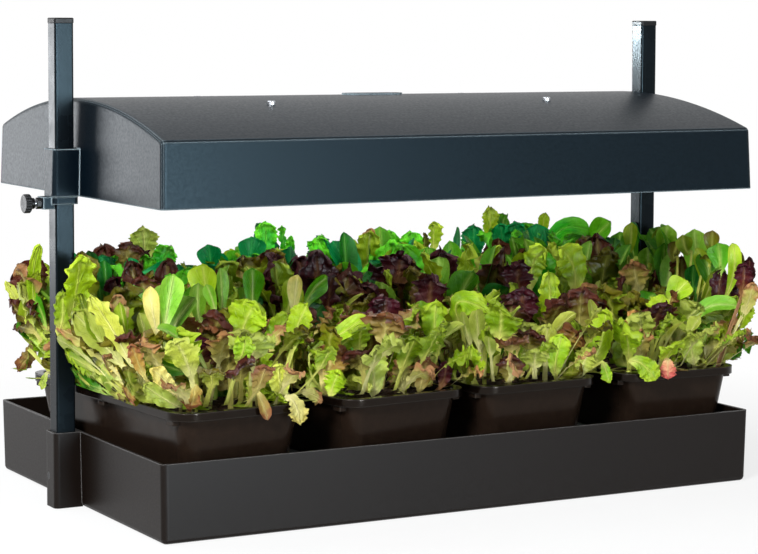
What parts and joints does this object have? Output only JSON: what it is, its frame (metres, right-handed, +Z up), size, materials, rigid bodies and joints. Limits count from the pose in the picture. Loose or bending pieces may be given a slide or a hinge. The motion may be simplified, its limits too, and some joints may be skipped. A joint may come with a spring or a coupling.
{
  "type": "countertop hydroponic garden",
  "caption": "Countertop hydroponic garden: reservoir base, salad trays on a wicking deck, and an arched lamp hood that slides on two posts and is held by clamp screws.",
  "frame": {"origin": "centre of the underside of the base", "axes": "+X along the length towards the right-hand post, +Y towards the back, where the power inlet is, +Z up"},
  "size_m": [0.7872, 0.437, 0.4904],
  "materials": {
    "reservoir_base": "fine-textured charcoal ABS",
    "post_tube": "black powder coat on steel tube",
    "post_cap": "black moulded plastic",
    "post_screws": "blackened steel",
    "wicking_deck": "dark grey polypropylene",
    "capillary_mat": "damp black felt",
    "grow_tray": "thermoformed brown-black polystyrene",
    "growing_medium": "damp peat and coir with fine bark",
    "plants": "dense salad leaves",
    "hood_shell": "satin charcoal ABS",
    "zinc_steel": "bright zinc plate",
    "lamp_reflector": "white-lacquered sheet",
    "ballast_box": "pale grey moulded case",
    "lamp_tubes": "white phosphor-coated glass",
    "tube_end_caps": "plain spun caps with brass pins",
    "lampholders": "white moulded polycarbonate",
    "power_inlet": "black moulded nylon",
    "black_plastic": "black moulded nylon"
  },
  "bodies": {
    "base": {"reservoir_base": "reservoir_base", "left_post": "post_tube", "right_post": "post_tube", "left_post_cap": "post_cap", "right_post_cap": "post_cap", "post_screws": "post_screws", "wicking_deck": "wicking_deck", "rear_deck_panels": "wicking_deck", "deck_legs": "wicking_deck", "capillary_mat": "capillary_mat"},
    "hood": {"hood_shell": "hood_shell", "hood_bolts": "zinc_steel", "bolt_nuts": "zinc_steel", "lamp_reflector": "lamp_reflector", "ballast_box": "ballast_box", "lamp_tubes": "lamp_tubes", "tube_end_caps": "tube_end_caps", "lampholders": "lampholders", "power_inlet": "power_inlet", "left_clamp_collar": "hood_shell", "right_clamp_collar": "hood_shell", "left_lock_nut": "black_plastic", "right_lock_nut": "black_plastic"},
    "left_clamp": {"left_clamp_screw": "zinc_steel", "left_clamp_knob": "black_plastic"},
    "right_clamp": {"right_clamp_screw": "zinc_steel", "right_clamp_knob": "black_plastic"},
    "tray_1": {"grow_tray_1": "grow_tray", "growing_medium_1": "growing_medium", "plants_1": "plants"},
    "tray_2": {"grow_tray_2": "grow_tray", "growing_medium_2": "growing_medium", "plants_2": "plants"},
    "tray_3": {"grow_tray_3": "grow_tray", "growing_medium_3": "growing_medium", "plants_3": "plants"},
    "tray_4": {"grow_tray_4": "grow_tray", "growing_medium_4": "growing_medium", "plants_4": "plants"}
  },
  "joints": [
    {"name": "hood_height", "type": "slide", "parent": "base", "child": "hood", "axis": [0, 0, 1], "range_m": [-0.03, 0.12]},
    {"name": "left_clamp_turn", "type": "hinge", "parent": "hood", "child": "left_clamp", "pos_m": [-0.367, 0, 0.3062], "axis": [-1, 0, 0], "range_deg": [0, 720]},
    {"name": "right_clamp_turn", "type": "hinge", "parent": "hood", "child": "right_clamp", "pos_m": [0.367, 0, 0.3062], "axis": [1, 0, 0], "range_deg": [0, 720]},
    {"name": "tray_1_lift", "type": "slide", "parent": "base", "child": "tray_1", "axis": [0, 0, 1], "range_m": [0, 0.032]},
    {"name": "tray_2_lift", "type": "slide", "parent": "base", "child": "tray_2", "axis": [0, 0, 1], "range_m": [0, 0.032]},
    {"name": "tray_3_lift", "type": "slide", "parent": "base", "child": "tray_3", "axis": [0, 0, 1], "range_m": [0, 0.032]},
    {"name": "tray_4_lift", "type": "slide", "parent": "base", "child": "tray_4", "axis": [0, 0, 1], "range_m": [0, 0.032]}
  ]
}
